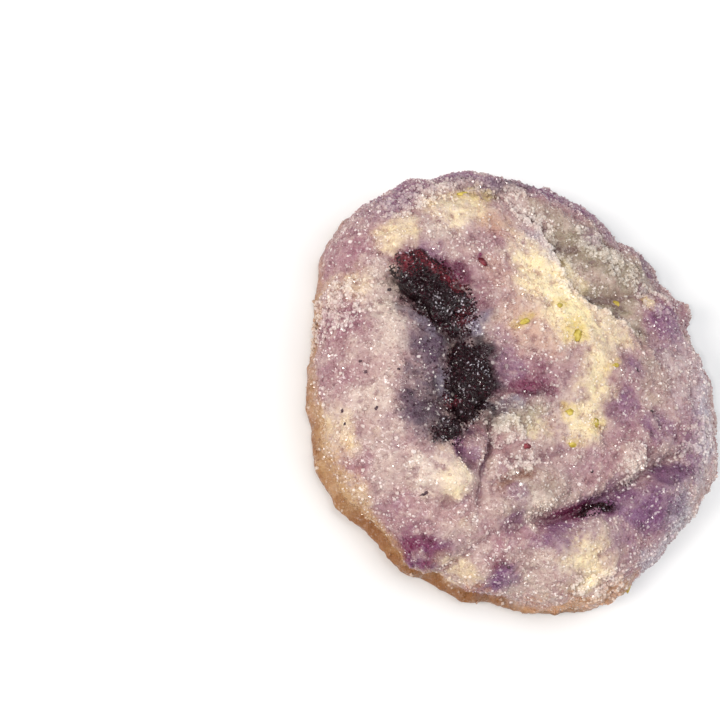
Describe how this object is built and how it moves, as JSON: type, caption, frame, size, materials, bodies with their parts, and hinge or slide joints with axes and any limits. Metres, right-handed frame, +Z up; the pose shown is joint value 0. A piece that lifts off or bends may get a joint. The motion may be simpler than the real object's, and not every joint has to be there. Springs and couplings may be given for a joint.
{
  "type": "lemon blueberry cookie",
  "caption": "Thick soft round cookie with a domed, craggy, sugar-crusted top, burst blueberries sunk into it, lemon zest, and a flat baked base.",
  "frame": {"origin": "middle of the flat base, under the middle of the cookie's bounding box", "axes": "+Z up out of the domed top; +X to the picture's right and +Y to its top, so the edge nearest the camera faces about 215 degrees in plan"},
  "size_m": [0.0804, 0.0816, 0.0217],
  "materials": {
    "dough": "matte, sugared",
    "blueberry": "moist, wrinkled"
  },
  "bodies": {
    "root": {"cookie_dough": "dough", "blueberry_burst": "blueberry", "blueberry_whole": "blueberry", "blueberry_small": "blueberry", "blueberry_in_fold": "blueberry"}
  },
  "joints": []
}
